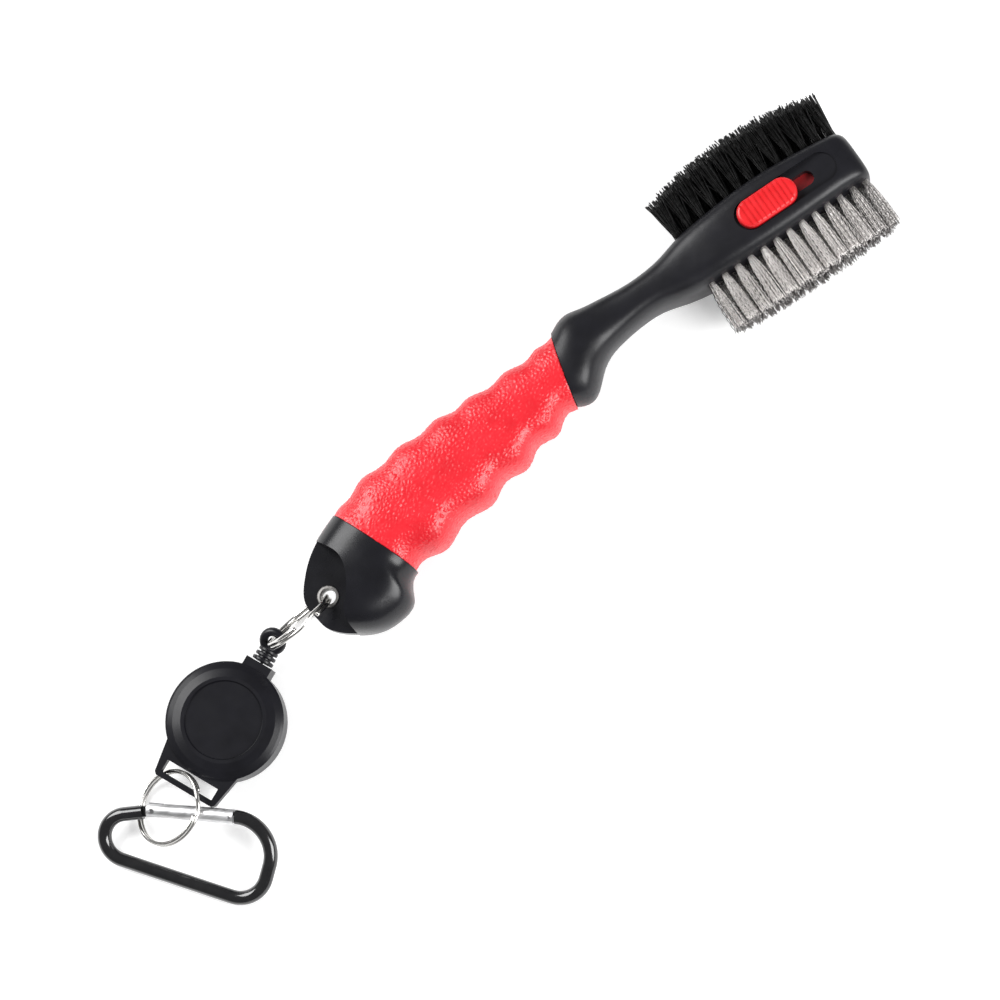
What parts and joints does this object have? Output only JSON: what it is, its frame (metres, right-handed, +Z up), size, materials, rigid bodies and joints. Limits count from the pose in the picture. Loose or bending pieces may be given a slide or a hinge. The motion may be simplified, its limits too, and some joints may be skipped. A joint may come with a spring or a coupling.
{
  "type": "golf club groove brush",
  "caption": "Two-sided club cleaning brush with nylon and wire bristles, a sliding groove spike, a waved rubber grip, and a retracting cord reel on a carabiner.",
  "frame": {"origin": "middle of the flat cover under the brush head, on the surface that the brush lies on", "axes": "+Z up from that surface, +X along the head and the slider's travel towards the tip, +Y towards the nylon bristles"},
  "size_m": [0.2822, 0.1018, 0.0246],
  "materials": {
    "satin_black": "satin moulded",
    "cap_black": "semi-gloss moulded",
    "nylon_black": "extruded filament",
    "bristle_wire": "crimped wire",
    "bright_steel": "plated",
    "button_red": "satin moulded",
    "carrier_red": "moulded",
    "grip_red": "pebbled",
    "ring_nickel": "nickel plated",
    "reel_black": "satin moulded",
    "cord_black": "braided",
    "spool_grey": "moulded",
    "spring_steel": "tempered",
    "anodised_black": "gloss",
    "gate_aluminium": "satin"
  },
  "bodies": {
    "brush": {"brush_frame": "satin_black", "nylon_bristles": "nylon_black", "wire_bristles": "bristle_wire", "nylon_tuft_anchors": "bright_steel", "wire_tuft_anchors": "bright_steel", "head_back_cover": "satin_black", "cover_screws": "bright_steel", "grip_sleeve": "grip_red", "end_cap": "cap_black", "ring_eyelet": "bright_steel"},
    "slider": {"slider_button": "button_red", "slider_carrier": "carrier_red", "groove_spike": "bright_steel"},
    "brush_ring": {"brush_split_ring": "ring_nickel"},
    "cord_end": {"cord_end_loop": "reel_black", "reel_cord": "cord_black"},
    "reel": {"reel_back_case": "reel_black", "reel_front_cover": "reel_black", "reel_spring": "spring_steel"},
    "spool": {"reel_spool": "spool_grey", "cord_winding": "cord_black"},
    "hook_ring": {"reel_split_ring": "ring_nickel"},
    "carabiner": {"carabiner_body": "anodised_black", "gate_hinge_pin": "bright_steel"},
    "gate": {"carabiner_gate": "gate_aluminium", "gate_latch_pin": "bright_steel", "gate_spring": "spring_steel", "gate_plunger": "bright_steel"}
  },
  "joints": [
    {"name": "slider_travel", "type": "slide", "parent": "brush", "child": "slider", "axis": [1, 0, 0], "range_m": [0, 0.012]},
    {"name": "eyelet_swing", "type": "hinge", "parent": "brush", "child": "brush_ring", "pos_m": [-0.16168, -0.02074, 0.01175], "axis": [0, 0, 1], "range_deg": [-40, 35]},
    {"name": "loop_swing", "type": "hinge", "parent": "brush_ring", "child": "cord_end", "pos_m": [-0.18172, -0.02086, 0.00652], "axis": [-0.394, -0.1922, 0.8988], "range_deg": [-30, 30]},
    {"name": "cord_pull", "type": "slide", "parent": "cord_end", "child": "reel", "axis": [-0.8988, -0.4384, 0], "range_m": [0, 0.6], "stiffness_N_per_m": 0.6, "springref_m": -1.2, "deforming": ["reel_cord"]},
    {"name": "spool_spin", "type": "hinge", "parent": "reel", "child": "spool", "pos_m": [-0.205, -0.03221, 0], "axis": [0, 0, 1], "range_deg": [0, 3520]},
    {"name": "hook_ring_lift", "type": "hinge", "parent": "reel", "child": "hook_ring", "pos_m": [-0.22439, -0.04167, 0.0062], "axis": [-0.4384, 0.8988, 0], "range_deg": [0, 13]},
    {"name": "carabiner_lift", "type": "hinge", "parent": "hook_ring", "child": "carabiner", "pos_m": [-0.23048, -0.04551, 0.00749], "axis": [0.7726, -0.6309, 0.0716], "range_deg": [0, 24]},
    {"name": "gate_opening", "type": "hinge", "parent": "carabiner", "child": "gate", "pos_m": [-0.23502, -0.04181, 0.00707], "axis": [0.2435, 0.1902, -0.9511], "range_deg": [0, 28], "stiffness_Nm_per_rad": 0.02, "springref_deg": -34.38}
  ],
  "couplings": [
    {"joint": "spool_spin", "follows": "cord_pull", "rad_per_m": 102.04}
  ]
}
